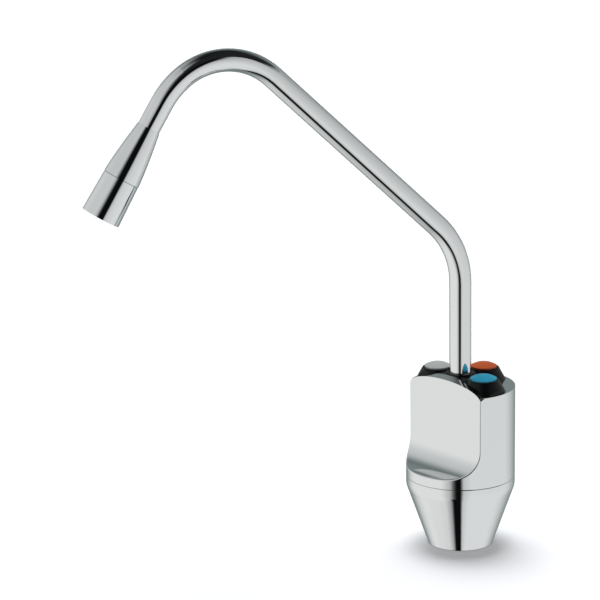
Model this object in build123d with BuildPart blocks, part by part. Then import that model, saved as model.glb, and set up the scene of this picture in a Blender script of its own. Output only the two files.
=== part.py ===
from build123d import *
import os
from math import cos, hypot, radians, sin, sqrt

# Three-way filtered water tap. The origin is on the tap's axis at the worktop's top face,
# +Z is up, and the scooped front of the housing faces -Y. Lengths are in millimetres.

# Clearances
still_gap = 0.05    # radial gap of turned parts that stay put
run_gap = 0.08      # radial gap of parts that turn or slide
seat_gap = 0.3      # gap between castings that don't bear on each other
ring_gap = 0.03     # gap between a seal ring and what slides past it
touch = 0.01        # two places nearer than this count as one when edges are picked

# Housing
body_radius = 30.0
housing_wall = 2.5
parting_height = 39.0
shell_height = 51.0
top_plate = 2.5
foot_radius = 18.0
foot_floor = 6.0
base_band = 5.0
base_wall = 3.0
shoulder_fillet = 12.0
joint_bevel = 0.25
edge_fillet = 0.5
neck_height = 9.0
neck_wall = 3.0

# Scooped front of the upper housing
face_offset = 12.0
face_wall = 3.0
scoop_radius = 15.5
scoop_rim_fillet = 1.0
ledge_rise = 5.6

# Raised lip along the top of the front: half an ellipse at the face, a bell behind it
lip_peak = 5.2
lip_end_drop = 1.8
lip_back_peak = 7.1
lip_shoulder = 5.4
lip_shoulder_offset = 12.0
lip_skirt = 1.9
lip_skirt_offset = 20.0

# Black cover with its hub and button collars
cover_inset = 1.1
collar_margin = 2.6
collar_base_radius = 12.0
collar_top_radius = 8.3
collar_height = 6.8
collar_edge_fillet = 0.5
hub_inset = 4.8
hub_top_radius = 8.0
hub_height = 7.4
hub_edge_fillet = 1.2
well_wall = 0.7
well_clearance = 1.5
plate_opening_gap = 2.3

# Push buttons
button_angles = {"blue": 0.0, "orange": 90.0, "grey": 180.0}
button_radius = 7.2
button_rise = 0.8
button_dome = 2.0
button_travel = 2.0
button_flange_radius = 7.6
button_flange_height = 3.0
button_crown = 2.0
button_pocket_radius = 5.4
button_boss_radius = 3.0
collar_land = 3.2

# Valve stems, discs, springs and bonnets
stem_radius = 2.0
stem_nib = 1.0
stem_bevel = 0.4
stem_grip = 3.0
disc_radius = 4.2
disc_height = 2.5
spring_wire_radius = 0.4
spring_mean_radius = 4.2
spring_turns = 6
bonnet_radius = 6.0
bonnet_head_radius = 6.9
bonnet_head_height = 3.0
bonnet_bore_radius = 3.2
bonnet_waist_radius = 4.8
bonnet_shoulder = 1.5
stem_groove_rise = 4.5
gallery_height = 3.0
window_radius = 1.1
window_count = 4
stem_ring_radius = 0.75

# Valve block
block_gap = 0.8
chamber_radius = 5.4
chamber_base = 2.0
chamber_height = 8.0
gallery_land = 1.5
feed_rise = 1.3
feed_radius = 2.0
feed_plug_radius = 2.2
feed_plug_length = 4.0
outlet_plug_radius = 2.6

# Spout's turning joint
spigot_radius = 7.2
spigot_lift = 0.5
spigot_length = 12.5
spigot_waterway = 4.0
socket_wall = 1.6
socket_lip = 1.5
spout_ring_radius = 0.8
spout_ring_rises = (2.2, 5.8)
groove_width = 2.0
spout_groove_depth = 1.65
bush_height = 2.4
clip_height = 1.0
clip_bite = 0.8
clip_width = 1.55
clip_opening = 40.0

# Spout
spout_turn = 23.0           # degrees off the front, towards -X
tube_radius = 6.0
tube_wall = 1.0
tube_rest = 8.0
riser_height = 58.2
lower_bend_radius = 45.0
lower_bend_turn = 46.4
diagonal_length = 124.5
crown_bend_radius = 37.0
crown_bend_turn = 79.0
outer_bend_radius = 45.0
outer_bend_turn = 23.6
tail_length = 14.2

# Nozzle
cone_length = 29.5
cone_lip = 0.2
cone_rim_radius = 9.9
cone_swell = 0.35
cone_tenon_length = 7.0
cone_tenon_wall = 1.1
cone_shoulder = 6.0
cone_passage_radius = 6.6
sleeve_length = 22.8
sleeve_step = 0.15
sleeve_flare = 0.7
sleeve_wall = 1.6
sleeve_tenon_step = 1.8
sleeve_tenon_wall = 1.5
sleeve_tenon_length = 4.5
shadow_gap = 0.4
shadow_depth = 0.45
nozzle_seal_height = 1.2
insert_recess = 1.2
insert_height = 6.0
insert_hole_radius = 0.75
insert_ring_pitch = 2.4
insert_rings = 3

# Under the worktop
shank_radius = 12.0
shank_wall = 2.5
shank_length = 62.0
shank_engagement = 5.5
worktop = 30.0
clamp_width = 8.0
clamp_seal_height = 3.0
clamp_washer_height = 2.0
nut_height = 8.0
nut_wall = 4.0
nut_bevel = 1.2
shank_bevel = 1.0
clamp_gap = 0.09
foot_groove_land = 1.8
foot_groove_rim = 1.2
foot_groove_depth = 1.6

# Inlet tails
tail_radius = 3.0
tail_bore_radius = 2.0
tail_foot = -110.0
tail_entry = 3.2
tail_end_radius = 3.175
tail_end_length = 20.0
inlet_ring_radius = 0.6

# Screws
set_screw_radius = 2.0
set_screw_height = 5.0
set_screw_sink = 0.5
set_screw_bite = 1.4
hex_key = 2.0
cover_screw_angles = (45.0, 135.0)
cover_screw_radius = 1.2
cover_screw_head_radius = 1.9
cover_screw_head_height = 1.4
cover_screw_bite = 2.4
cover_screw_slot = 0.6

# Sizes of the housing that follow from those above
housing_bore = body_radius - housing_wall
rim_height = parting_height + shell_height
plate_foot = rim_height - top_plate
ledge_height = parting_height + ledge_rise
inner_scoop_radius = scoop_radius + housing_wall
inner_face = face_offset - housing_wall
lip_back = face_offset - face_wall
neck_radius = housing_bore - still_gap
neck_bore = neck_radius - neck_wall
foot_groove_inner = shank_radius + foot_groove_land
foot_groove_outer = foot_radius - foot_groove_rim

# Sizes of the cover and the buttons
cover_radius = body_radius - cover_inset
cover_top = rim_height + collar_height
collar_offset = cover_radius - collar_margin - collar_top_radius
hub_base_radius = collar_offset - hub_inset
button_bore_radius = button_radius + run_gap
flange_bore_radius = button_flange_radius + run_gap
flange_top = cover_top - collar_land
button_foot = flange_top - button_flange_height
button_top = cover_top + button_rise
button_dome_radius = (button_radius ** 2 + button_dome ** 2) / (2 * button_dome)
pocket_top = button_top - button_crown
well_depth = button_travel + well_clearance
well_foot = rim_height - well_depth
well_radius = flange_bore_radius + well_wall
cover_screw_offset = collar_offset * cos(radians(45))  # midway between neighbouring collars

# Heights and radii of the valve block, from its seat upwards
block_radius = housing_bore - block_gap
block_foot_radius = neck_bore - seat_gap
block_front = inner_face - block_gap
block_cut_height = ledge_height - housing_wall - seat_gap
block_seat_height = parting_height - base_wall
block_step_height = parting_height + neck_height + seat_gap
shank_top = block_seat_height + shank_engagement
tail_top = shank_top + tail_entry
feed_height = tail_top + feed_rise
chamber_floor = feed_height + feed_radius + chamber_base
seat_height = chamber_floor + chamber_height
gallery_floor = seat_height + gallery_land
gallery_top = gallery_floor + gallery_height
gallery_middle = gallery_floor + gallery_height / 2
stem_groove_width = 2 * stem_ring_radius
stem_groove_height = gallery_top + stem_groove_rise
stem_guide_radius = stem_radius + run_gap
stem_groove_radius = stem_guide_radius + 2 * stem_ring_radius + ring_gap
block_top = stem_groove_height + stem_groove_width + bonnet_shoulder
bonnet_seat_radius = bonnet_radius + still_gap
bonnet_head_top = block_top + bonnet_head_height
stem_foot = seat_height - disc_height - stem_nib
stem_top = button_foot + stem_grip
coil_height = pocket_top - bonnet_head_top - 2 * spring_wire_radius
outlet_plug_length = block_radius - collar_offset - bonnet_seat_radius - still_gap

# Heights and radii of the spout's turning joint
socket_radius = spigot_radius + run_gap
socket_neck_radius = socket_radius + socket_wall
spigot_foot = gallery_top + spigot_lift
spigot_top = spigot_foot + spigot_length
spout_ring_heights = [spigot_foot + rise for rise in spout_ring_rises]
tube_foot = spigot_foot + tube_rest
riser_top = rim_height + riser_height
bush_foot = spigot_top + run_gap
clip_foot = bush_foot + bush_height
clip_radius = spigot_radius + clip_bite
socket_top = clip_foot + clip_height + socket_lip

# Radii and lengths of the nozzle
tenon_radius = tube_radius - tube_wall - still_gap
tenon_bore = tenon_radius - cone_tenon_wall
cone_top_radius = tube_radius + cone_lip
sleeve_top_radius = cone_rim_radius - sleeve_step
sleeve_mouth_radius = sleeve_top_radius + sleeve_flare
sleeve_bore_radius = sleeve_top_radius - shadow_depth - sleeve_wall
sleeve_tenon_radius = cone_rim_radius - sleeve_tenon_step
sleeve_tenon_bore = sleeve_tenon_radius - sleeve_tenon_wall
insert_radius = sleeve_mouth_radius - sleeve_wall - still_gap
nozzle_length = cone_length + sleeve_length
insert_back = nozzle_length - insert_recess - insert_height

# Radii under the worktop, and the set screw's length
shank_bore_radius = shank_radius - shank_wall
clamp_radius = shank_radius + clamp_width
clamp_bore_radius = shank_radius + clamp_gap
nut_across_flats = 2 * (shank_radius + nut_wall)
washer_foot = -worktop - clamp_seal_height - clamp_washer_height
nut_foot = washer_foot - nut_height
tail_offset = shank_bore_radius - tail_radius - seat_gap
set_screw_length = body_radius - set_screw_sink - neck_radius + set_screw_bite


def lift(height):
    """Horizontal plane at a height."""
    return Plane.XY.offset(height)


def ring(major, minor, height):
    """Seal ring of round section, lying flat on the Z axis."""
    with BuildPart() as torus:
        with BuildSketch(Plane.XZ):
            with Locations((major, height)):
                Circle(minor)
        revolve(axis=Axis.Z)
    return torus.part


def at_height(edge, height):
    """Whether an edge lies flat at a height."""
    box = edge.bounding_box()
    return abs(box.min.Z - height) < touch and abs(box.max.Z - height) < touch


def edges_at(builder, height):
    """Edges of a part in the making that lie flat at a height."""
    return builder.edges().filter_by(lambda edge: at_height(edge, height))


def write(part, name):
    """Label a finished piece and write it to its own file."""
    part.label = name
    export_step(part, f"parts/{name}.step")


os.makedirs("parts", exist_ok=True)


# Base cone: a tapered cup with a straight band and a register neck for the upper housing
taper = (body_radius - foot_radius) / (parting_height - base_band)
band_height = parting_height - base_band
cavity_foot_radius = foot_radius + taper * foot_floor - base_wall
cavity_top_radius = block_foot_radius - base_wall
with BuildPart() as base_cone:
    with BuildSketch(Plane.XZ):
        with BuildLine():
            Polyline(
                (0, 0),
                (foot_radius, 0),
                (body_radius, band_height),
                (body_radius, parting_height),
                (neck_radius, parting_height),
                (neck_radius, parting_height + neck_height),
                (0, parting_height + neck_height),
                close=True,
            )
        make_face()
    revolve(axis=Axis.Z)
    fillet(edges_at(base_cone, band_height), shoulder_fillet)
    outer_rim = edges_at(base_cone, parting_height).sort_by(SortBy.RADIUS)[-1]
    chamfer(outer_rim, joint_bevel)
    fillet(edges_at(base_cone, 0), edge_fillet)
    with BuildSketch(Plane.XZ):
        with BuildLine():
            Polyline(
                (0, foot_floor),
                (cavity_foot_radius, foot_floor),
                (cavity_top_radius, band_height - base_wall),
                (cavity_top_radius, block_seat_height),
                (neck_bore, block_seat_height),
                (neck_bore, parting_height + neck_height),
                (0, parting_height + neck_height),
                close=True,
            )
        make_face()
    revolve(axis=Axis.Z, mode=Mode.SUBTRACT)
    with BuildSketch(lift(0)):
        Circle(shank_radius + still_gap)
    extrude(amount=foot_floor, mode=Mode.SUBTRACT)
    with BuildSketch(lift(0)):
        Circle(foot_groove_outer)
        Circle(foot_groove_inner, mode=Mode.SUBTRACT)
    extrude(amount=foot_groove_depth, mode=Mode.SUBTRACT)
    # The neck is cut low at the front, where the scoop's ledge crosses the housing
    neck_front = ledge_height - housing_wall - seat_gap
    with BuildSketch(lift(neck_front)):
        with Locations((0, -body_radius)):
            Rectangle(2 * body_radius, 2 * (body_radius - block_front))
    extrude(amount=neck_height, mode=Mode.SUBTRACT)
    # Threaded seat of the set screw, through the neck's back
    with BuildSketch(Plane.XZ.offset(-neck_radius)):
        with Locations((0, parting_height + set_screw_height)):
            Circle(set_screw_radius + still_gap)
    extrude(amount=set_screw_bite, mode=Mode.SUBTRACT)
write(base_cone.part, "base_cone")


def scoop_space(depth, radius, floor):
    """All that lies in front of the scooped face, and above its ledge."""
    outside = 2 * body_radius
    axis_height = floor + radius
    axis = depth + radius
    with BuildPart() as space:
        with BuildSketch(Plane.YZ):
            with BuildLine():
                wall = Line((-depth, outside + rim_height), (-depth, axis_height))
                bend = CenterArc((-axis, axis_height), radius, 0, -90)
                Polyline(bend @ 1, (-outside, floor), (-outside, outside + rim_height), wall @ 0)
            make_face()
        extrude(amount=outside, both=True)
    return space.part


def half_width(depth):
    """Half the housing's width at a depth in front of its axis."""
    return sqrt(body_radius ** 2 - depth ** 2)


def above_crown(crown, depth):
    """Upright face at a depth, from a crown that runs from right to left up to the blank's top."""
    reach = body_radius + seat_gap
    with BuildSketch(Plane.XZ.offset(depth)) as upright:
        with BuildLine():
            add(crown)
            Polyline(
                crown @ 1,
                (-reach, (crown @ 1).Y),
                (-reach, blank_top),
                (reach, blank_top),
                (reach, (crown @ 0).Y),
                crown @ 0,
            )
        make_face()
    return upright.sketch.face()


def on_scoop_rim(edge):
    """Whether an edge is where the scoop, its face or its ledge meets the housing's outside."""
    middle = edge @ 0.5
    outside = abs(hypot(middle.X, middle.Y) - body_radius) < touch
    return outside and middle.Y < touch - face_offset


# Upper housing: a cup turned upside down, with a scooped front, a ledge and a raised lip
outer_scoop = scoop_space(face_offset, scoop_radius, ledge_height)
inner_scoop = scoop_space(inner_face, inner_scoop_radius, ledge_height - housing_wall)
blank_top = rim_height + lip_back_peak + seat_gap
front_crown = EllipticalCenterArc(
    (0, rim_height - lip_end_drop),
    half_width(face_offset),
    lip_peak + lip_end_drop,
    start_angle=0,
    arc_size=180,
)
rear_crown = Spline(
    (half_width(lip_back), rim_height),
    (lip_skirt_offset, rim_height + lip_skirt),
    (lip_shoulder_offset, rim_height + lip_shoulder),
    (0, rim_height + lip_back_peak),
    (-lip_shoulder_offset, rim_height + lip_shoulder),
    (-lip_skirt_offset, rim_height + lip_skirt),
    (-half_width(lip_back), rim_height),
)
above_lip_front = above_crown(front_crown, face_offset)
above_lip_rear = above_crown(rear_crown, lip_back)
with BuildPart() as housing_cavity:
    with BuildSketch(lift(parting_height)):
        Circle(housing_bore)
    extrude(amount=plate_foot - parting_height)
    add(inner_scoop, mode=Mode.SUBTRACT)
with BuildPart() as body_shell:
    with BuildSketch(lift(parting_height)):
        Circle(body_radius)
    extrude(amount=blank_top - parting_height)
    chamfer(edges_at(body_shell, parting_height), joint_bevel)
    add(outer_scoop, mode=Mode.SUBTRACT)
    # The scoop's whole edge on the cylinder is rounded, from one end of the lip to the other
    fillet(body_shell.edges().filter_by(on_scoop_rim), scoop_rim_fillet)
    loft([above_lip_front, above_lip_rear], ruled=True, mode=Mode.SUBTRACT)
    with BuildSketch(lift(rim_height)):
        with Locations((0, -lip_back)):
            Rectangle(4 * body_radius, 2 * body_radius, align=(Align.CENTER, Align.MIN))
    extrude(amount=blank_top - rim_height, mode=Mode.SUBTRACT)
    add(housing_cavity.part, mode=Mode.SUBTRACT)
    with BuildSketch(lift(rim_height)):
        Circle(tube_radius + plate_opening_gap)
        for angle in button_angles.values():
            with PolarLocations(collar_offset, 1, angle):
                Circle(well_radius + seat_gap)
    extrude(amount=-top_plate, mode=Mode.SUBTRACT)
    with BuildSketch(lift(rim_height)):
        for angle in cover_screw_angles:
            with PolarLocations(cover_screw_offset, 1, angle):
                Circle(cover_screw_radius + still_gap)
    extrude(amount=-top_plate, mode=Mode.SUBTRACT)
    with BuildSketch(Plane.XZ.offset(-body_radius)):
        with Locations((0, parting_height + set_screw_height)):
            Circle(set_screw_radius + still_gap)
    extrude(amount=2 * housing_wall, mode=Mode.SUBTRACT)
write(body_shell.part, "body_shell")


# Black cover: hub, three conical collars with their wells, and a block behind the lip
with BuildPart() as front_block:
    with BuildSketch(lift(rim_height)):
        Rectangle(2 * collar_offset, lip_back, align=(Align.CENTER, Align.MAX))
    extrude(amount=blank_top - rim_height)
    extrude(above_lip_rear, amount=-lip_back, mode=Mode.SUBTRACT)
with BuildPart() as hub:
    with Locations((0, 0, rim_height + hub_height / 2)):
        Cone(hub_base_radius, hub_top_radius, hub_height)
    fillet(edges_at(hub, rim_height + hub_height), hub_edge_fillet)
with BuildPart() as top_cover:
    for angle in button_angles.values():
        with PolarLocations(collar_offset, 1, angle):
            with Locations((0, 0, rim_height + collar_height / 2)):
                Cone(collar_base_radius, collar_top_radius, collar_height)
    fillet(edges_at(top_cover, cover_top), collar_edge_fillet)
    add(hub.part)
    add(front_block.part)
    with BuildSketch(lift(rim_height)):
        Circle(cover_radius)
        with Locations((0, -body_radius)):
            Rectangle(2 * body_radius, 2 * (body_radius - lip_back + still_gap), mode=Mode.SUBTRACT)
    extrude(amount=hub_height, mode=Mode.INTERSECT)
    with BuildSketch(lift(well_foot)):
        for angle in button_angles.values():
            with PolarLocations(collar_offset, 1, angle):
                Circle(well_radius)
    extrude(amount=well_depth)
    with BuildSketch(lift(well_foot)):
        for angle in button_angles.values():
            with PolarLocations(collar_offset, 1, angle):
                Circle(flange_bore_radius)
    extrude(amount=flange_top - well_foot, mode=Mode.SUBTRACT)
    with BuildSketch(lift(flange_top)):
        for angle in button_angles.values():
            with PolarLocations(collar_offset, 1, angle):
                Circle(button_bore_radius)
    extrude(amount=collar_land, mode=Mode.SUBTRACT)
    with BuildSketch(lift(rim_height)):
        Circle(tube_radius + run_gap)
    extrude(amount=hub_height, mode=Mode.SUBTRACT)
    with BuildSketch(lift(rim_height)):
        for angle in cover_screw_angles:
            with PolarLocations(cover_screw_offset, 1, angle):
                Circle(cover_screw_radius)
    extrude(amount=cover_screw_bite, mode=Mode.SUBTRACT)
write(top_cover.part, "top_cover")


def way_axis(angle):
    """Upright axis of the button and valve at an angle round the spout."""
    return Axis((collar_offset * cos(radians(angle)), collar_offset * sin(radians(angle)), 0), (0, 0, 1))


def way_plane(angle):
    """Upright plane on a valve's axis: X runs outwards and Y runs up."""
    turn = radians(angle)
    return Plane(
        origin=(collar_offset * cos(turn), collar_offset * sin(turn), 0),
        x_dir=(cos(turn), sin(turn), 0),
        z_dir=(sin(turn), -cos(turn), 0),
    )


def outward(angle, start, height):
    """Plane at a distance from the Z axis, with its normal outwards along an angle."""
    turn = radians(angle)
    return Plane(
        origin=(start * cos(turn), start * sin(turn), height),
        x_dir=(-sin(turn), cos(turn), 0),
        z_dir=(cos(turn), sin(turn), 0),
    )


# Valve block: a D-shaped brass casting with three valve chambers and the spout's socket
with BuildPart() as valve_block:
    with BuildSketch(Plane.XZ):
        with BuildLine():
            Polyline(
                (0, block_seat_height),
                (block_foot_radius, block_seat_height),
                (block_foot_radius, block_step_height),
                (block_radius, block_step_height),
                (block_radius, block_top),
                (socket_neck_radius, block_top),
                (socket_neck_radius, socket_top),
                (0, socket_top),
                close=True,
            )
        make_face()
    revolve(axis=Axis.Z)
    chamfer(edges_at(valve_block, block_top), edge_fillet)
    with BuildSketch(lift(block_cut_height)):
        with Locations((0, -body_radius)):
            Rectangle(2 * body_radius, 2 * (body_radius - block_front))
    extrude(amount=socket_top, mode=Mode.SUBTRACT)
    with BuildSketch(lift(block_seat_height)):
        Circle(shank_radius + still_gap)
    extrude(amount=shank_engagement, mode=Mode.SUBTRACT)
    with BuildSketch(lift(seat_height)):
        Circle(socket_radius)
    extrude(amount=socket_top - seat_height, mode=Mode.SUBTRACT)
    with BuildSketch(lift(clip_foot)):
        Circle(clip_radius)
    extrude(amount=clip_height, mode=Mode.SUBTRACT)
    for angle in button_angles.values():
        with BuildSketch(way_plane(angle)):
            with BuildLine():
                Polyline(
                    (0, feed_height),
                    (feed_radius, feed_height),
                    (feed_radius, chamber_floor),
                    (chamber_radius, chamber_floor),
                    (chamber_radius, seat_height),
                    (bonnet_seat_radius, seat_height),
                    (bonnet_seat_radius, block_top),
                    (0, block_top),
                    close=True,
                )
            make_face()
        revolve(axis=way_axis(angle), mode=Mode.SUBTRACT)
        with BuildSketch(outward(angle, tail_offset, feed_height)):
            Circle(feed_radius)
        extrude(amount=block_radius, mode=Mode.SUBTRACT)
        with BuildSketch(outward(angle, block_foot_radius - feed_plug_length, feed_height)):
            Circle(feed_plug_radius)
        extrude(amount=block_radius, mode=Mode.SUBTRACT)
        with BuildSketch(outward(angle, 0, gallery_middle)):
            Circle(feed_radius)
        extrude(amount=block_radius, mode=Mode.SUBTRACT)
        with BuildSketch(outward(angle, block_radius - outlet_plug_length, gallery_middle)):
            Circle(outlet_plug_radius)
        extrude(amount=block_radius, mode=Mode.SUBTRACT)
        with BuildSketch(lift(shank_top)):
            with PolarLocations(tail_offset, 1, angle):
                Circle(tail_radius + still_gap)
        extrude(amount=tail_entry, mode=Mode.SUBTRACT)
        with BuildSketch(lift(shank_top)):
            with PolarLocations(tail_offset, 1, angle):
                Circle(tail_radius + 2 * inlet_ring_radius + still_gap)
        extrude(amount=2 * inlet_ring_radius, mode=Mode.SUBTRACT)
write(valve_block.part, "valve_block")

with BuildPart() as channel_plugs:
    for angle in button_angles.values():
        with BuildSketch(outward(angle, block_foot_radius - feed_plug_length, feed_height)):
            Circle(feed_plug_radius)
        extrude(amount=feed_plug_length - still_gap)
        with BuildSketch(outward(angle, block_radius - outlet_plug_length, gallery_middle)):
            Circle(outlet_plug_radius)
        extrude(amount=outlet_plug_length - still_gap)
write(channel_plugs.part, "channel_plugs")


# One push button with its valve for each water
for colour, angle in button_angles.items():
    axis = way_axis(angle)
    plane = way_plane(angle)

    with BuildPart() as button:
        with BuildSketch(plane):
            with BuildLine():
                edge = Polyline(
                    (0, button_foot),
                    (button_flange_radius, button_foot),
                    (button_flange_radius, flange_top),
                    (button_radius, flange_top),
                    (button_radius, button_top),
                )
                dome = RadiusArc(edge @ 1, (0, button_top + button_dome), -button_dome_radius)
                Line(dome @ 1, edge @ 0)
            make_face()
        revolve(axis=axis)
        with BuildSketch(Plane(origin=(plane.origin.X, plane.origin.Y, button_foot))):
            Circle(button_pocket_radius)
            Circle(button_boss_radius, mode=Mode.SUBTRACT)
        extrude(amount=pocket_top - button_foot, mode=Mode.SUBTRACT)
        with BuildSketch(Plane(origin=(plane.origin.X, plane.origin.Y, button_foot))):
            Circle(stem_radius + still_gap)
        extrude(amount=stem_top - button_foot, mode=Mode.SUBTRACT)
    write(button.part, f"button_{colour}")

    with BuildPart() as stem:
        with BuildSketch(Plane(origin=(plane.origin.X, plane.origin.Y, stem_foot))):
            Circle(stem_radius)
        extrude(amount=stem_top - stem_foot)
        chamfer(stem.edges().filter_by(GeomType.CIRCLE), stem_bevel)
    write(stem.part, f"stem_{colour}")

    with BuildPart() as disc:
        with BuildSketch(Plane(origin=(plane.origin.X, plane.origin.Y, seat_height))):
            Circle(disc_radius)
            Circle(stem_radius + still_gap, mode=Mode.SUBTRACT)
        extrude(amount=-disc_height)
        circles = disc.edges().filter_by(GeomType.CIRCLE)
        fillet(circles.sort_by(SortBy.RADIUS)[-2:], edge_fillet)
    write(disc.part, f"valve_disc_{colour}")

    with BuildPart() as bonnet:
        with BuildSketch(plane):
            with BuildLine():
                Polyline(
                    (bonnet_bore_radius, seat_height),
                    (bonnet_radius, seat_height),
                    (bonnet_radius, gallery_floor),
                    (bonnet_waist_radius, gallery_floor),
                    (bonnet_waist_radius, gallery_top),
                    (bonnet_radius, gallery_top),
                    (bonnet_radius, bonnet_head_top),
                    (stem_guide_radius, bonnet_head_top),
                    (stem_guide_radius, stem_groove_height + stem_groove_width),
                    (stem_groove_radius, stem_groove_height + stem_groove_width),
                    (stem_groove_radius, stem_groove_height),
                    (stem_guide_radius, stem_groove_height),
                    (stem_guide_radius, gallery_top),
                    (bonnet_bore_radius, gallery_top),
                    close=True,
                )
            make_face()
        revolve(axis=axis)
        with BuildSketch(Plane(plane.origin + (0, 0, block_top), x_dir=plane.x_dir)):
            RegularPolygon(bonnet_head_radius, 6, rotation=30)
            Circle(stem_guide_radius, mode=Mode.SUBTRACT)
        extrude(amount=bonnet_head_height)
        for index in range(window_count):
            window = Plane(
                plane.origin + (0, 0, gallery_middle),
                z_dir=plane.x_dir.rotate(Axis.Z, (index + 0.5) * 360 / window_count),
            )
            with BuildSketch(window):
                Circle(window_radius)
            extrude(amount=bonnet_radius, mode=Mode.SUBTRACT)
    write(bonnet.part, f"bonnet_{colour}")

    with BuildPart() as stem_seal:
        with BuildSketch(plane):
            with Locations((stem_guide_radius + stem_ring_radius, stem_groove_height + stem_groove_width / 2)):
                Circle(stem_ring_radius)
        revolve(axis=axis)
    write(stem_seal.part, f"stem_seal_{colour}")

    with BuildPart() as spring:
        with BuildLine():
            coil = Helix(
                pitch=coil_height / spring_turns,
                height=coil_height,
                radius=spring_mean_radius,
                center=(plane.origin.X, plane.origin.Y, bonnet_head_top + spring_wire_radius),
            )
        with BuildSketch(Plane(origin=coil @ 0, z_dir=coil % 0)):
            Circle(spring_wire_radius)
        sweep(is_frenet=True)
    write(spring.part, f"spring_{colour}")

    with BuildPart() as tail:
        with BuildSketch(lift(tail_foot)):
            with PolarLocations(tail_offset, 1, angle):
                Circle(tail_radius)
                Circle(tail_bore_radius, mode=Mode.SUBTRACT)
        extrude(amount=tail_top - tail_foot - still_gap)
        with BuildSketch(lift(tail_foot)):
            with PolarLocations(tail_offset, 1, angle):
                Circle(tail_end_radius)
                Circle(tail_bore_radius, mode=Mode.SUBTRACT)
        extrude(amount=tail_end_length)
        outer_foot = edges_at(tail, tail_foot).sort_by(SortBy.RADIUS)[-1]
        chamfer(outer_foot, stem_bevel)
    write(tail.part, f"inlet_tube_{colour}")


# Rings that seal the inlet tubes in the block
with BuildPart() as inlet_seals:
    for angle in button_angles.values():
        with PolarLocations(tail_offset, 1, angle):
            add(ring(tail_radius + still_gap + inlet_ring_radius, inlet_ring_radius, shank_top + inlet_ring_radius))
write(inlet_seals.part, "inlet_seals")


# Spout: a bent tube in an upright plane turned off the housing's front
spout_side = Vector(-sin(radians(spout_turn)), -cos(radians(spout_turn)), 0)
spout_plane = Plane(origin=(0, 0, 0), x_dir=spout_side, z_dir=spout_side.cross(Vector(0, 0, 1)))
with BuildPart() as spout_tube:
    with BuildLine(spout_plane):
        riser = Line((0, tube_foot), (0, riser_top))
        lower_bend = JernArc(riser @ 1, riser % 1, lower_bend_radius, -lower_bend_turn)
        diagonal = PolarLine(lower_bend @ 1, diagonal_length, direction=lower_bend % 1)
        crown_bend = JernArc(diagonal @ 1, diagonal % 1, crown_bend_radius, -crown_bend_turn)
        outer_bend = JernArc(crown_bend @ 1, crown_bend % 1, outer_bend_radius, -outer_bend_turn)
        tail_run = PolarLine(outer_bend @ 1, tail_length, direction=outer_bend % 1)
    with BuildSketch(lift(tube_foot)):
        Circle(tube_radius)
        Circle(tube_radius - tube_wall, mode=Mode.SUBTRACT)
    sweep()
write(spout_tube.part, "spout_tube")

# Frame of the nozzle: origin at the tube's end, local Z along the way the water leaves
nozzle_end = tail_run @ 1
nozzle_way = tail_run % 1
nozzle_frame = Plane(origin=nozzle_end, x_dir=spout_plane.z_dir, z_dir=nozzle_way)
nozzle_section = Plane(origin=nozzle_end, x_dir=spout_plane.z_dir, z_dir=spout_plane.z_dir.cross(nozzle_way))
nozzle_axis = Axis(nozzle_end, nozzle_way)


def turned(points):
    """Body of revolution about the nozzle's axis, from points of radius and distance."""
    with BuildPart() as body:
        with BuildSketch(nozzle_section):
            with BuildLine():
                Polyline(*points, close=True)
            make_face()
        revolve(axis=nozzle_axis)
    return body.part


# Spigot: the brass foot of the spout, soldered to the tube and turning in the block
with BuildPart() as spout_spigot:
    with BuildSketch(Plane.XZ):
        with BuildLine():
            Polyline(
                (spigot_waterway, spigot_foot),
                (spigot_radius, spigot_foot),
                (spigot_radius, spigot_top),
                (tube_radius + still_gap, spigot_top),
                (tube_radius + still_gap, tube_foot),
                (spigot_waterway, tube_foot),
                close=True,
            )
        make_face()
        for height in spout_ring_heights:
            with Locations((spigot_radius, height)):
                Rectangle(2 * spout_groove_depth, groove_width, mode=Mode.SUBTRACT)
    revolve(axis=Axis.Z)
write(spout_spigot.part, "spout_spigot")

with BuildPart() as spout_seals:
    for height in spout_ring_heights:
        add(ring(socket_radius - ring_gap - spout_ring_radius, spout_ring_radius, height))
write(spout_seals.part, "spout_seals")

with BuildPart() as spout_bush:
    with BuildSketch(lift(bush_foot)):
        Circle(socket_radius - still_gap)
        Circle(tube_radius + run_gap, mode=Mode.SUBTRACT)
    extrude(amount=bush_height - still_gap)
write(spout_bush.part, "spout_bush")

# Retaining clip: an open ring sprung into the groove of the block's neck
with BuildPart() as spout_clip:
    with BuildSketch(lift(clip_foot)):
        Circle(clip_radius - still_gap)
        Circle(clip_radius - clip_width, mode=Mode.SUBTRACT)
        with BuildLine():
            half = radians(clip_opening / 2)
            reach = 2 * spigot_radius
            Polyline(
                (0, 0),
                (reach * cos(half), reach * sin(half)),
                (reach * cos(half), -reach * sin(half)),
                close=True,
            )
        make_face(mode=Mode.SUBTRACT)
    extrude(amount=clip_height - still_gap)
write(spout_clip.part, "spout_clip")

# Nozzle cone: screwed up inside the tube's end, and nearly straight-sided
with BuildPart() as nozzle_cone:
    with BuildSketch(nozzle_section):
        with BuildLine():
            outer = SagittaArc((cone_top_radius, 0), (cone_rim_radius, cone_length), -cone_swell)
            Polyline(
                outer @ 1,
                (sleeve_tenon_radius + still_gap, cone_length),
                (sleeve_tenon_radius + still_gap, cone_length - sleeve_tenon_length - nozzle_seal_height),
                (cone_passage_radius, cone_length - sleeve_tenon_length - nozzle_seal_height),
                (tenon_bore, cone_shoulder),
                (tenon_bore, -cone_tenon_length),
                (tenon_radius, -cone_tenon_length),
                (tenon_radius, 0),
                outer @ 0,
            )
        make_face()
    revolve(axis=nozzle_axis)
write(nozzle_cone.part, "nozzle_cone")

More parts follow.
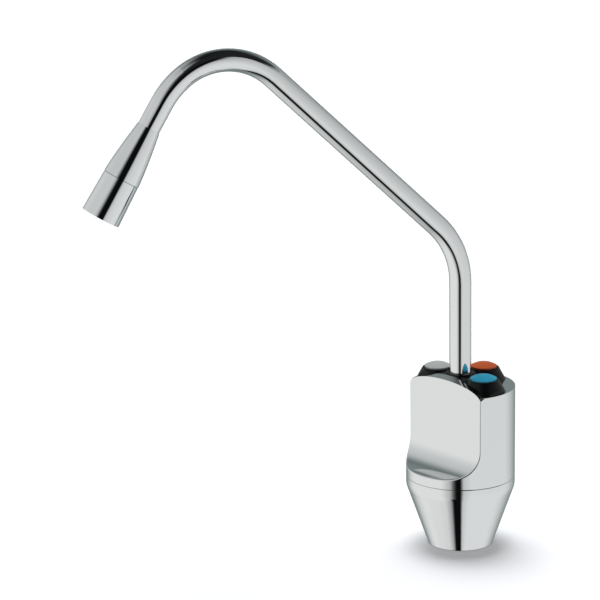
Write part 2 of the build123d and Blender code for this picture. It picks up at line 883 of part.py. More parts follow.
nozzle_seal = turned(
    [
        (sleeve_tenon_bore, cone_length - sleeve_tenon_length - nozzle_seal_height),
        (sleeve_tenon_radius, cone_length - sleeve_tenon_length - nozzle_seal_height),
        (sleeve_tenon_radius, cone_length - sleeve_tenon_length),
        (sleeve_tenon_bore, cone_length - sleeve_tenon_length),
    ]
)
write(nozzle_seal, "nozzle_seal")

# Nozzle sleeve: flares towards its mouth, with a shadow groove where it meets the cone
nozzle_sleeve = turned(
    [
        (sleeve_tenon_bore, cone_length - sleeve_tenon_length),
        (sleeve_tenon_radius, cone_length - sleeve_tenon_length),
        (sleeve_tenon_radius, cone_length),
        (sleeve_top_radius - shadow_depth, cone_length),
        (sleeve_top_radius - shadow_depth, cone_length + shadow_gap),
        (sleeve_top_radius, cone_length + shadow_gap),
        (sleeve_mouth_radius, nozzle_length),
        (insert_radius + still_gap, nozzle_length),
        (insert_radius + still_gap, insert_back),
        (sleeve_bore_radius, insert_back),
        (sleeve_bore_radius, cone_length + shadow_gap),
        (sleeve_tenon_bore, cone_length - sleeve_tenon_bore / 2),
    ]
)
write(nozzle_sleeve, "nozzle_sleeve")

# Flow straightener: a plastic disc with rings of holes
with BuildPart() as flow_straightener:
    with BuildSketch(nozzle_frame.offset(insert_back)):
        Circle(insert_radius)
        Circle(insert_hole_radius, mode=Mode.SUBTRACT)
        for index in range(1, insert_rings + 1):
            with PolarLocations(index * insert_ring_pitch, 6 * index):
                Circle(insert_hole_radius, mode=Mode.SUBTRACT)
    extrude(amount=insert_height)
write(flow_straightener.part, "flow_straightener")


# Threaded shank through the worktop, with its seals, washer and nut
with BuildPart() as threaded_shank:
    with BuildSketch(lift(-shank_length)):
        Circle(shank_radius)
        Circle(shank_bore_radius, mode=Mode.SUBTRACT)
    extrude(amount=shank_length + shank_top)
    outer_foot = edges_at(threaded_shank, -shank_length).sort_by(SortBy.RADIUS)[-1]
    chamfer(outer_foot, shank_bevel)
write(threaded_shank.part, "threaded_shank")

with BuildPart() as deck_seal:
    with BuildSketch(lift(0)):
        Circle(foot_groove_outer - still_gap)
        Circle(foot_groove_inner + still_gap, mode=Mode.SUBTRACT)
    extrude(amount=foot_groove_depth)
write(deck_seal.part, "deck_seal")

with BuildPart() as clamp_seal:
    with BuildSketch(lift(-worktop - clamp_seal_height)):
        Circle(clamp_radius)
        Circle(clamp_bore_radius, mode=Mode.SUBTRACT)
    extrude(amount=clamp_seal_height)
write(clamp_seal.part, "clamp_seal")

with BuildPart() as clamp_washer:
    with BuildSketch(lift(washer_foot)):
        Circle(clamp_radius)
        Circle(clamp_bore_radius, mode=Mode.SUBTRACT)
    extrude(amount=clamp_washer_height)
    chamfer(edges_at(clamp_washer, washer_foot).sort_by(SortBy.RADIUS)[-1], joint_bevel)
write(clamp_washer.part, "clamp_washer")

with BuildPart() as back_nut:
    with BuildSketch(lift(nut_foot)):
        RegularPolygon(nut_across_flats / 2, 6, major_radius=False)
        Circle(clamp_bore_radius, mode=Mode.SUBTRACT)
    extrude(amount=nut_height)
    with BuildSketch(Plane.XZ):
        with BuildLine():
            corner = nut_across_flats / sqrt(3)
            Polyline(
                (nut_across_flats / 2, nut_foot),
                (corner, nut_foot),
                (corner, nut_foot + nut_bevel),
                close=True,
            )
        make_face()
    revolve(axis=Axis.Z, mode=Mode.SUBTRACT)
write(back_nut.part, "back_nut")


# Set screw in the neck's back, with a hexagon socket
with BuildPart() as body_screw:
    with BuildSketch(Plane.XZ.offset(set_screw_sink - body_radius)):
        with Locations((0, parting_height + set_screw_height)):
            Circle(set_screw_radius)
    extrude(amount=set_screw_length)
    with BuildSketch(Plane.XZ.offset(set_screw_sink - body_radius)):
        with Locations((0, parting_height + set_screw_height)):
            RegularPolygon(hex_key / 2, 6, major_radius=False)
    extrude(amount=set_screw_length / 2, mode=Mode.SUBTRACT)
write(body_screw.part, "body_screw")

# Screws that hold the cover down, put in from under the top plate
with BuildPart() as cover_screws:
    for angle in cover_screw_angles:
        with BuildSketch(lift(plate_foot - cover_screw_head_height)):
            with PolarLocations(cover_screw_offset, 1, angle):
                Circle(cover_screw_head_radius)
        extrude(amount=cover_screw_head_height)
        with BuildSketch(lift(plate_foot)):
            with PolarLocations(cover_screw_offset, 1, angle):
                Circle(cover_screw_radius - still_gap)
        extrude(amount=top_plate + cover_screw_bite - still_gap)
        with BuildSketch(lift(plate_foot - cover_screw_head_height)):
            with PolarLocations(cover_screw_offset, 1, angle):
                Rectangle(2 * cover_screw_radius, cover_screw_slot, mode=Mode.ADD)
        extrude(amount=cover_screw_slot, mode=Mode.SUBTRACT)
write(cover_screws.part, "cover_screws")
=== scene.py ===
"""Looks of the three-way filtered water tap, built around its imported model.

Each sub-assembly is a class that dresses its own nodes, and builds the pieces whose form the solids
leave plain. Sizes are in metres unless a name ends in _mm or _deg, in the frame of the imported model:
the tap stands on the worktop at z = 0, its front towards -Y and its spout turned towards -X.
"""

import logging
import math
from dataclasses import dataclass, field
from enum import Enum

import bmesh
import bpy
from mathutils import Matrix, Vector


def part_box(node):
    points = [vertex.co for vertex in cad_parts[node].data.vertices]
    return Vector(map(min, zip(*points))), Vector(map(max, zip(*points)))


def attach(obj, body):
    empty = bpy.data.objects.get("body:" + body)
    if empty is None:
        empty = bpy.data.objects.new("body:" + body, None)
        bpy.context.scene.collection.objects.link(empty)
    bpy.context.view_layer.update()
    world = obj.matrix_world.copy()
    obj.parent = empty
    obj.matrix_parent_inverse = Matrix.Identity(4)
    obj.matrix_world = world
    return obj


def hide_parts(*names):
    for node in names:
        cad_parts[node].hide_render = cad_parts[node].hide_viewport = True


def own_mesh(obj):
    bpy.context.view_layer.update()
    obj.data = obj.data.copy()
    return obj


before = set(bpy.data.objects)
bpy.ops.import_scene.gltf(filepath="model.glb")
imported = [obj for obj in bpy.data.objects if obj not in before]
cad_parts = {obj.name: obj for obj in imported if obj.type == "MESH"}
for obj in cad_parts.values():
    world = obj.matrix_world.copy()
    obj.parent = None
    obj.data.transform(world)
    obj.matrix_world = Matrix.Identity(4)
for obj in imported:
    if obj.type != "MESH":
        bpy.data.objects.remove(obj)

MM = 0.001
UP = Vector((0, 0, 1))

# Edges bent by more than this stay sharp on the pieces that are built here.
SHARP_FROM_DEG = 40.0

# Where a node that mixes two colours takes the first and the second, and gives the result.
FIRST_COLOUR = 6
SECOND_COLOUR = 7
MIXED_COLOUR = 2

log = logging.getLogger("tap")


class Way(Enum):
    """The three kinds of water, each with its own button, valve and feed tube."""

    BLUE = "blue"
    ORANGE = "orange"
    GREY = "grey"


def linear(hex_colour: str) -> tuple[float, float, float, float]:
    """Turns an sRGB colour into the linear one that shaders take.

    Args:
        hex_colour: the colour as "#RRGGBB".

    Returns:
        Red, green, blue and an alpha of one.
    """
    parts = [int(hex_colour[i : i + 2], 16) / 255 for i in (1, 3, 5)]
    red, green, blue = (c / 12.92 if c <= 0.04045 else ((c + 0.055) / 1.055) ** 2.4 for c in parts)
    return red, green, blue, 1.0


def rises_about(middle: float, width: float, value: float) -> float:
    """Rises smoothly from 0 to 1 as a value passes a middle.

    Args:
        middle: where the rise is half done.
        width: how wide the rise is.
        value: the value asked about.

    Returns:
        A share from 0 to 1.
    """
    share = min(1.0, max(0.0, (value - middle) / width + 0.5))
    return share * share * (3 - 2 * share)


def towards(azimuth_deg: float, elevation_deg: float) -> Vector:
    """Gives the direction to something round the tap.

    Args:
        azimuth_deg: how far round it is, from the front towards +X.
        elevation_deg: how high it is above the horizon.

    Returns:
        A vector of length one.
    """
    azimuth = math.radians(azimuth_deg)
    elevation = math.radians(elevation_deg)
    level = math.cos(elevation)
    return Vector((math.sin(azimuth) * level, -math.cos(azimuth) * level, math.sin(elevation)))


def add_node(
    tree: bpy.types.NodeTree, kind: str, inputs: dict | None = None, **settings
) -> bpy.types.Node:
    """Adds a node, sets its settings, and fills or links its inputs.

    Args:
        tree: the node tree that takes the node.
        kind: Blender's name of the node type.
        inputs: for each input, by name or index, a value or the socket that feeds it.
        **settings: the node's own properties.

    Returns:
        The new node.
    """
    node = tree.nodes.new(kind)
    for name, value in settings.items():
        setattr(node, name, value)
    for name, value in (inputs or {}).items():
        if isinstance(value, bpy.types.NodeSocket):
            tree.links.new(value, node.inputs[name])
        else:
            node.inputs[name].default_value = value
    return node


def blank_material(name: str) -> bpy.types.Material:
    """Makes a material whose node tree is empty.

    Args:
        name: the material's name.

    Returns:
        The material.
    """
    material = bpy.data.materials.new(name)
    material.use_nodes = True
    material.node_tree.nodes.clear()
    return material


@dataclass(frozen=True)
class Finish:
    """What all finishes share: one Principled shader with uniform values, and detail on top.

    Attributes:
        name: the material's name, which says what it is and how its surface was made.
        colour: the sRGB colour of the surface.
        roughness: the shader's roughness where nothing varies it.
        metallic: 1 for a bare metal surface, otherwise 0.
        specular: the strength of its gloss, where 0.5 is that of a plain plastic.
    """

    name: str
    colour: str
    roughness: float
    metallic: float = 0.0
    specular: float = 0.5

    def build(self) -> bpy.types.Material:
        """Makes the material.

        Returns:
            The material, with its pattern nodes linked.
        """
        material = blank_material(self.name)
        tree = material.node_tree
        shader = add_node(
            tree,
            "ShaderNodeBsdfPrincipled",
            {
                "Base Color": linear(self.colour),
                "Roughness": self.roughness,
                "Metallic": self.metallic,
                "Specular IOR Level": self.specular,
            },
        )
        add_node(tree, "ShaderNodeOutputMaterial", {"Surface": shader.outputs["BSDF"]})
        self.add_detail(tree, shader)
        return material

    def add_detail(self, tree: bpy.types.NodeTree, shader: bpy.types.Node) -> None:
        """Leaves the surface even; each finish adds its own pattern here."""


@dataclass(frozen=True)
class PolishedChrome(Finish):
    """Chrome plate over polished brass: a mirror, with a faint haze where a cloth has passed.

    Attributes:
        haze_size_mm: across a patch of haze, about the width of a wiping finger.
        haze_band: where in the pattern of patches, from 0 to 1, the haze starts and is full.
        haze_roughness: the roughness inside a patch.
        ripple_size_mm: across the ripples that buffing leaves, which bend reflected edges a little.
        ripple_depth_mm: how deep those ripples are.
        groove_shade_colour: painted shade, a dark colour that the chrome's colour is mixed towards in
            grooves and joints.
        groove_shade_reach_mm: how narrow a groove must be to get that painted shade.
        groove_shade_band: how open a place is, from 0 to 1, where the painted shade is full and where it
            ends.
        groove_shade_samples: how many rays find out how open a place is.
    """

    name: str = "polished_chrome_plate"
    colour: str = "#E1E2E2"
    roughness: float = 0.03
    metallic: float = 1.0
    haze_size_mm: float = 14.0
    haze_band: tuple[float, float] = (0.5, 0.75)
    haze_roughness: float = 0.07
    ripple_size_mm: float = 9.0
    ripple_depth_mm: float = 0.001
    groove_shade_colour: str = "#2B2E2E"
    groove_shade_reach_mm: float = 0.6
    groove_shade_band: tuple[float, float] = (0.25, 0.7)
    groove_shade_samples: int = 8

    def add_detail(self, tree: bpy.types.NodeTree, shader: bpy.types.Node) -> None:
        """Adds haze to the roughness, buffing ripples to the normal, and painted shade to the grooves and
        joints.

        Args:
            tree: the material's node tree.
            shader: its Principled shader.
        """
        place = add_node(tree, "ShaderNodeTexCoord").outputs["Object"]
        haze = add_node(
            tree,
            "ShaderNodeTexNoise",
            {"Vector": place, "Scale": 1 / (self.haze_size_mm * MM), "Detail": 4.0},
        )
        haze_from, haze_full = self.haze_band
        spread = add_node(
            tree,
            "ShaderNodeMapRange",
            {
                "Value": haze.outputs["Fac"],
                "From Min": haze_from,
                "From Max": haze_full,
                "To Min": self.roughness,
                "To Max": self.haze_roughness,
            },
        )
        tree.links.new(spread.outputs["Result"], shader.inputs["Roughness"])
        # Painted shade: where ambient occlusion finds a narrow groove or joint, the base colour darkens
        # towards a dark one.
        openness = add_node(
            tree,
            "ShaderNodeAmbientOcclusion",
            {"Distance": self.groove_shade_reach_mm * MM},
            samples=self.groove_shade_samples,
        )
        shade_full, shade_ends = self.groove_shade_band
        unshaded = add_node(
            tree,
            "ShaderNodeMapRange",
            {"Value": openness.outputs["AO"], "From Min": shade_full, "From Max": shade_ends},
        )
        colour = add_node(
            tree,
            "ShaderNodeMix",
            {
                "Factor": unshaded.outputs["Result"],
                FIRST_COLOUR: linear(self.groove_shade_colour),
                SECOND_COLOUR: linear(self.colour),
            },
            data_type="RGBA",
        )
        tree.links.new(colour.outputs[MIXED_COLOUR], shader.inputs["Base Color"])
        ripple = add_node(
            tree,
            "ShaderNodeTexNoise",
            {"Vector": place, "Scale": 1 / (self.ripple_size_mm * MM), "Detail": 1.0},
        )
        bump = add_node(
            tree,
            "ShaderNodeBump",
            {"Height": ripple.outputs["Fac"], "Distance": self.ripple_depth_mm * MM},
        )
        tree.links.new(bump.outputs["Normal"], shader.inputs["Normal"])


@dataclass(frozen=True)
class MouldedPlastic(Finish):
    """ABS from a spark-eroded mould: an even colour with a fine grain that breaks up the sheen.

    Attributes:
        grain_size_mm: across one grain; the real one is 0.1, drawn coarser so that it shows.
        grain_depth_mm: how deep the grain is.
        cloud_size_mm: across the faint patches that flow in the mould leaves.
        cloud_share: how much those patches darken the colour.
    """

    roughness: float = 0.4
    grain_size_mm: float = 0.35
    grain_depth_mm: float = 0.01
    cloud_size_mm: float = 12.0
    cloud_share: float = 0.08

    def add_detail(self, tree: bpy.types.NodeTree, shader: bpy.types.Node) -> None:
        """Adds flow patches to the colour and the mould's grain to the normal.

        Args:
            tree: the material's node tree.
            shader: its Principled shader.
        """
        place = add_node(tree, "ShaderNodeTexCoord").outputs["Object"]
        flow = add_node(
            tree,
            "ShaderNodeTexNoise",
            {"Vector": place, "Scale": 1 / (self.cloud_size_mm * MM), "Detail": 3.0},
        )
        # The pattern is about a half on average, so where it is 1 the colour loses twice the share.
        kept = 1 - 2 * self.cloud_share
        red, green, blue, alpha = linear(self.colour)
        colour = add_node(
            tree,
            "ShaderNodeMix",
            {
                "Factor": flow.outputs["Fac"],
                FIRST_COLOUR: linear(self.colour),
                SECOND_COLOUR: (red * kept, green * kept, blue * kept, alpha),
            },
            data_type="RGBA",
        )
        tree.links.new(colour.outputs[MIXED_COLOUR], shader.inputs["Base Color"])
        grain = add_node(
            tree,
            "ShaderNodeTexVoronoi",
            {"Vector": place, "Scale": 1 / (self.grain_size_mm * MM)},
            feature="SMOOTH_F1",
        )
        bump = add_node(
            tree,
            "ShaderNodeBump",
            {"Height": grain.outputs["Distance"], "Distance": self.grain_depth_mm * MM},
        )
        tree.links.new(bump.outputs["Normal"], shader.inputs["Normal"])


@dataclass(frozen=True)
class TurnedMetal(Finish):
    """Bare metal from a lathe or a drawing die: a soft sheen broken by fine lines along the cut.

    Attributes:
        line_step_mm: between two tool lines; the real step is 0.1, drawn coarser so that it shows.
        line_depth_mm: how deep the lines are.
        tarnish_colour: the colour of the dull patches.
        tarnish_size_mm: across a dull patch.
        tarnish_band: where in the pattern of patches, from 0 to 1, the dullness starts and is full.
        tarnish_share: how far a patch goes from the clean colour to the dull one.
    """

    metallic: float = 1.0
    line_step_mm: float = 0.35
    line_depth_mm: float = 0.008
    tarnish_colour: str = "#8A7445"
    tarnish_size_mm: float = 9.0
    tarnish_band: tuple[float, float] = (0.4, 0.7)
    tarnish_share: float = 0.35

    def add_detail(self, tree: bpy.types.NodeTree, shader: bpy.types.Node) -> None:
        """Adds dull patches to the colour and tool lines to the normal.

        Args:
            tree: the material's node tree.
            shader: its Principled shader.
        """
        place = add_node(tree, "ShaderNodeTexCoord").outputs["Object"]
        patches = add_node(
            tree,
            "ShaderNodeTexNoise",
            {"Vector": place, "Scale": 1 / (self.tarnish_size_mm * MM), "Detail": 5.0},
        )
        dull_from, dull_full = self.tarnish_band
        dullness = add_node(
            tree,
            "ShaderNodeMapRange",
            {
                "Value": patches.outputs["Fac"],
                "From Min": dull_from,
                "From Max": dull_full,
                "To Max": self.tarnish_share,
            },
        )
        colour = add_node(
            tree,
            "ShaderNodeMix",
            {
                "Factor": dullness.outputs["Result"],
                FIRST_COLOUR: linear(self.colour),
                SECOND_COLOUR: linear(self.tarnish_colour),
            },
            data_type="RGBA",
        )
        tree.links.new(colour.outputs[MIXED_COLOUR], shader.inputs["Base Color"])
        along = add_node(
            tree,
            "ShaderNodeMapping",
            {"Vector": place, "Scale": (1.0, 1.0, 1 / (self.line_step_mm * MM))},
        )
        lines = add_node(
            tree,
            "ShaderNodeTexNoise",
            {"Vector": along.outputs["Vector"], "Scale": 1.0, "Detail": 2.0},
        )
        bump = add_node(
            tree,
            "ShaderNodeBump",
            {"Height": lines.outputs["Fac"], "Distance": self.line_depth_mm * MM},
        )
        tree.links.new(bump.outputs["Normal"], shader.inputs["Normal"])


@dataclass(frozen=True)
class MouldedRubber(Finish):
    """EPDM rubber from a mould: near black, dull, with a faint bloom in patches.

    Attributes:
        bloom_colour: the pale film that rubber brings to its surface.
        bloom_size_mm: across a patch of bloom.
        bloom_band: where in the pattern of patches, from 0 to 1, the film starts and is full.
        bloom_share: how strong the film is.
        relief_mm: how uneven the surface is.
    """

    name: str = "moulded_epdm_rubber"
    colour: str = "#1C1C1D"
    roughness: float = 0.62
    bloom_colour: str = "#4B4C4E"
    bloom_size_mm: float = 3.0
    bloom_band: tuple[float, float] = (0.45, 0.8)
    bloom_share: float = 0.4
    relief_mm: float = 0.02

    def add_detail(self, tree: bpy.types.NodeTree, shader: bpy.types.Node) -> None:
        """Adds the bloom to the colour and a fine unevenness to the normal.

        Args:
            tree: the material's node tree.
            shader: its Principled shader.
        """
        place = add_node(tree, "ShaderNodeTexCoord").outputs["Object"]
        patches = add_node(
            tree,
            "ShaderNodeTexNoise",
            {"Vector": place, "Scale": 1 / (self.bloom_size_mm * MM), "Detail": 6.0},
        )
        bloom_from, bloom_full = self.bloom_band
        film = add_node(
            tree,
            "ShaderNodeMapRange",
            {
                "Value": patches.outputs["Fac"],
                "From Min": bloom_from,
                "From Max": bloom_full,
                "To Max": self.bloom_share,
            },
        )
        colour = add_node(
            tree,
            "ShaderNodeMix",
            {
                "Factor": film.outputs["Result"],
                FIRST_COLOUR: linear(self.colour),
                SECOND_COLOUR: linear(self.bloom_colour),
            },
            data_type="RGBA",
        )
        tree.links.new(colour.outputs[MIXED_COLOUR], shader.inputs["Base Color"])
        bump = add_node(
            tree,
            "ShaderNodeBump",
            {"Height": patches.outputs["Fac"], "Distance": self.relief_mm * MM},
        )
        tree.links.new(bump.outputs["Normal"], shader.inputs["Normal"])


class Finishes:
    """The materials of the tap, each made once and shared by the nodes that have it."""

    def __init__(self) -> None:
        """Builds every material."""
        self.chrome = PolishedChrome().build()
        self.black_cover = MouldedPlastic(
            "moulded_black_abs", "#080B0C", roughness=0.34, specular=0.18
        ).build()
        self.discs = {
            Way.BLUE: MouldedPlastic("moulded_blue_abs", "#26A0C3", grain_size_mm=0.25).build(),
            Way.ORANGE: MouldedPlastic("moulded_orange_abs", "#BF5522", grain_size_mm=0.25).build(),
            Way.GREY: MouldedPlastic("moulded_grey_abs", "#B2B7B5", grain_size_mm=0.25).build(),
        }
        self.brass = TurnedMetal("turned_brass", "#C7A45C", roughness=0.28).build()
        self.steel = TurnedMetal(
            "drawn_stainless_steel", "#B9BABB", roughness=0.26, tarnish_colour="#8F9092", line_step_mm=0.5
        ).build()
        self.rubber = MouldedRubber().build()
        self.acetal = MouldedPlastic(
            "moulded_white_acetal", "#E4E2DA", roughness=0.3, cloud_share=0.03
        ).build()


def dress(material: bpy.types.Material, *nodes: str) -> None:
    """Gives CAD nodes their finish.

    Args:
        material: the finish.
        *nodes: the names of the nodes that have it.
    """
    for name in nodes:
        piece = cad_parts[name]
        for place in piece.material_slots:
            place.link = "OBJECT"
            place.material = material
        log.info("%s: %s", name, material.name)


def round_angles(count: int) -> list[float]:
    """Divides a full turn into equal steps.

    Args:
        count: how many steps.

    Returns:
        The angle of each step, in radians, from 0.
    """
    return [2 * math.pi * step / count for step in range(count)]


def bridge(
    mesh: bmesh.types.BMesh, first: list[bmesh.types.BMVert], second: list[bmesh.types.BMVert]
) -> None:
    """Joins two rings of vertices with a band of faces.

    Args:
        mesh: the mesh that has them.
        first: one ring.
        second: the other, each vertex facing one of the first.
    """
    for index in range(len(first)):
        after = (index + 1) % len(first)
        mesh.faces.new((first[index], first[after], second[after], second[index]))


def add_object(name: str, mesh: bmesh.types.BMesh) -> bpy.types.Object:
    """Makes an object of a finished mesh and frees the mesh.

    Args:
        name: the object's name.
        mesh: its shape.

    Returns:
        The object, in the scene.
    """
    data = bpy.data.meshes.new(name)
    mesh.to_mesh(data)
    mesh.free()
    made = bpy.data.objects.new(name, data)
    bpy.context.scene.collection.objects.link(made)
    return made


def skin(name: str, rings: list[list[Vector]], closed: bool) -> bpy.types.Object:
    """Joins rings of points into one surface without gaps.

    Args:
        name: the piece's name.
        rings: rings with the same number of points, each point facing its neighbour's.
        closed: whether the last ring joins the first; otherwise both ends get a cap.

    Returns:
        The object, in the scene, smooth but for its edges.
    """
    mesh = bmesh.new()
    rows = [[mesh.verts.new(point) for point in ring] for ring in rings]
    pairs = list(zip(rows, rows[1:]))
    if closed:
        pairs.append((rows[-1], rows[0]))
    else:
        mesh.faces.new(rows[0][::-1])
        mesh.faces.new(rows[-1])
    for first, second in pairs:
        bridge(mesh, first, second)
    bmesh.ops.recalc_face_normals(mesh, faces=mesh.faces)
    piece = add_object(name, mesh)
    piece.data.polygons.foreach_set("use_smooth", [True] * len(piece.data.polygons))
    piece.data.set_sharp_from_angle(angle=math.radians(SHARP_FROM_DEG))
    return piece


@dataclass
class CoilSpring:
    """The spring under one button, wound with a closed turn at each end.

    The solid can't shorten, so this coil stands for it.

    Attributes:
        way: whose spring it is.
        wire_radius: the wire's radius, as in the solid.
        open_turns: the turns between the two closed ones.
        steps_per_turn: how many rings of points a turn has.
        wire_sides: how many points a ring has.
        travel: how far the button goes down; not used.
    """

    way: Way
    wire_radius: float = 0.4 * MM
    open_turns: int = 6
    steps_per_turn: int = 32
    wire_sides: int = 10
    travel: float = 2.0 * MM

    def rise(self, turns: float, height: float) -> float:
        """Says how high the wire's middle has climbed.

        Args:
            turns: how many turns have been wound.
            height: how high the wire climbs in all.

        Returns:
            The climb above the wire's start.
        """
        closed_rise = 2 * self.wire_radius
        open_rise = (height - 2 * closed_rise) / self.open_turns
        open_part = min(max(turns - 1, 0), self.open_turns)
        return open_part * open_rise + (turns - open_part) * closed_rise

    def build(self, steel: bpy.types.Material) -> bpy.types.Object:
        """Winds the coil in the place of the solid.

        Args:
            steel: the wire's finish.

        Returns:
            The coil.
        """
        node = f"spring_{self.way.value}"
        low, high = (Vector(corner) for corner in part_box(node))
        middle = (low + high) / 2
        coil_radius = (high.x - low.x) / 2 - self.wire_radius
        height = high.z - low.z - 2 * self.wire_radius
        rings = []
        for step in range((self.open_turns + 2) * self.steps_per_turn + 1):
            turns = step / self.steps_per_turn
            angle = 2 * math.pi * turns
            outward = Vector((math.cos(angle), math.sin(angle), 0))
            centre = Vector((middle.x, middle.y, low.z + self.wire_radius + self.rise(turns, height)))
            centre += outward * coil_radius
            spokes = [outward * math.cos(a) + UP * math.sin(a) for a in round_angles(self.wire_sides)]
            rings.append([centre + self.wire_radius * spoke for spoke in spokes])
        coil = skin(f"coil_{self.way.value}", rings, closed=False)
        coil.data.materials.append(steel)
        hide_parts(node)
        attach(coil, "tap_body")
        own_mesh(coil)
        log.info("%s: %s", coil.name, steel.name)
        return coil


@dataclass
class ThreadedShank:
    """The brass shank, with the fine thread that the solid leaves plain.

    Attributes:
        pitch: from one crest of the thread to the next.
        depth: how deep the thread is cut.
        plain_top: the height above which the shank is plain.
        end_bevel: the bevel of the lower end, as in the solid.
        wall: the shank's wall, as in the solid.
        sides: how many points a ring has.
        rows_per_turn: how many rings of points lie in one pitch.
    """

    pitch: float = 1.5 * MM
    depth: float = 0.8 * MM
    plain_top: float = 0.0
    end_bevel: float = 1.0 * MM
    wall: float = 2.5 * MM
    sides: int = 72
    rows_per_turn: int = 8

    def radius(self, height: float, angle: float, foot: float, crest: float) -> float:
        """Says how far out the thread's surface is.

        Args:
            height: the height of the point.
            angle: its angle round the shank, in radians.
            foot: the height of the shank's lower end.
            crest: the radius of the thread's crest.

        Returns:
            The radius there.
        """
        phase = (height / self.pitch + angle / (2 * math.pi)) % 1
        groove = self.depth * (1 - abs(2 * phase - 1))
        run_out = min(1.0, max(0.0, (self.plain_top - height) / self.pitch))
        bevel = max(0.0, self.end_bevel - (height - foot))
        return min(crest - groove * run_out, crest - bevel)

    def ring(self, height: float, radii: list[float]) -> list[Vector]:
        """Places one ring of points at a height, each as far out as its own radius."""
        turned = zip(radii, round_angles(self.sides))
        return [Vector((r * math.cos(a), r * math.sin(a), height)) for r, a in turned]

    def build(self, brass: bpy.types.Material) -> bpy.types.Object:
        """Cuts the thread on a copy of the shank that takes the solid's place.

        Args:
            brass: the shank's finish.

        Returns:
            The threaded shank.
        """
        low, high = (Vector(corner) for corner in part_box("threaded_shank"))
        crest = (high.x - low.x) / 2
        bore = [crest - self.wall] * self.sides
        rows = round((self.plain_top - low.z) / self.pitch * self.rows_per_turn)
        rings = [self.ring(high.z, bore), self.ring(high.z, [crest] * self.sides)]
        for row in range(rows + 1):
            height = self.plain_top + (low.z - self.plain_top) * row / rows
            radii = [self.radius(height, angle, low.z, crest) for angle in round_angles(self.sides)]
            rings.append(self.ring(height, radii))
        rings.append(self.ring(low.z, bore))
        shank = skin("shank_with_thread", rings, closed=True)
        shank.data.materials.append(brass)
        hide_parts("threaded_shank")
        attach(shank, "tap_body")
        log.info("%s: %s", shank.name, brass.name)
        return shank


@dataclass
class Housing:
    """The chromed lower cone and upper shell, and the screw that holds them together."""

    def dress(self, finishes: Finishes) -> None:
        """Plates the two halves and leaves the screw bare steel."""
        dress(finishes.chrome, "base_cone", "body_shell")
        dress(finishes.steel, "body_screw")


@dataclass
class ButtonDeck:
    """The black cover with its three collars, and the coloured buttons in them."""

    def dress(self, finishes: Finishes) -> None:
        """Gives the cover, its screws and each button their finish.

        Args:
            finishes: the tap's materials.
        """
        dress(finishes.black_cover, "top_cover")
        dress(finishes.steel, "cover_screws")
        for way in Way:
            dress(finishes.discs[way], f"button_{way.value}")


@dataclass
class ValveWorks:
    """The block inside the housing, with a valve, a seal and a feed tube for each kind of water."""

    def dress(self, finishes: Finishes) -> None:
        """Gives brass, steel and rubber pieces their finish, and winds the springs.

        Args:
            finishes: the tap's materials.
        """
        dress(finishes.brass, "valve_block", "channel_plugs")
        dress(finishes.rubber, "inlet_seals")
        for way in Way:
            dress(finishes.brass, f"bonnet_{way.value}")
            dress(finishes.steel, f"stem_{way.value}", f"inlet_tube_{way.value}")
            CoilSpring(way).build(finishes.steel)
            dress(finishes.rubber, f"valve_disc_{way.value}", f"stem_seal_{way.value}")


@dataclass
class SwivelSpout:
    """The bent tube and what it turns on."""

    def dress(self, finishes: Finishes) -> None:
        """Plates the tube and gives its bearing pieces their finish.

        Args:
            finishes: the tap's materials.
        """
        dress(finishes.chrome, "spout_tube")
        dress(finishes.brass, "spout_spigot")
        dress(finishes.rubber, "spout_seals")
        dress(finishes.acetal, "spout_bush")
        dress(finishes.steel, "spout_clip")


@dataclass
class Nozzle:
    """The cone, sleeve and flow straightener at the end of the spout."""

    def dress(self, finishes: Finishes) -> None:
        """Plates the cone and the sleeve, and leaves the inner pieces bare.

        Args:
            finishes: the tap's materials.
        """
        dress(finishes.chrome, "nozzle_cone", "nozzle_sleeve")
        dress(finishes.rubber, "nozzle_seal")
        dress(finishes.acetal, "flow_straightener")


@dataclass
class DeckMounting:
    """The threaded shank under the housing, and what clamps it to the worktop."""

    def dress(self, finishes: Finishes) -> None:
        """Cuts the shank's thread, and gives brass, steel and rubber pieces their finish.

        Args:
            finishes: the tap's materials.
        """
        ThreadedShank().build(finishes.brass)
        dress(finishes.brass, "back_nut")
        dress(finishes.steel, "clamp_washer")
        dress(finishes.rubber, "deck_seal", "clamp_seal")


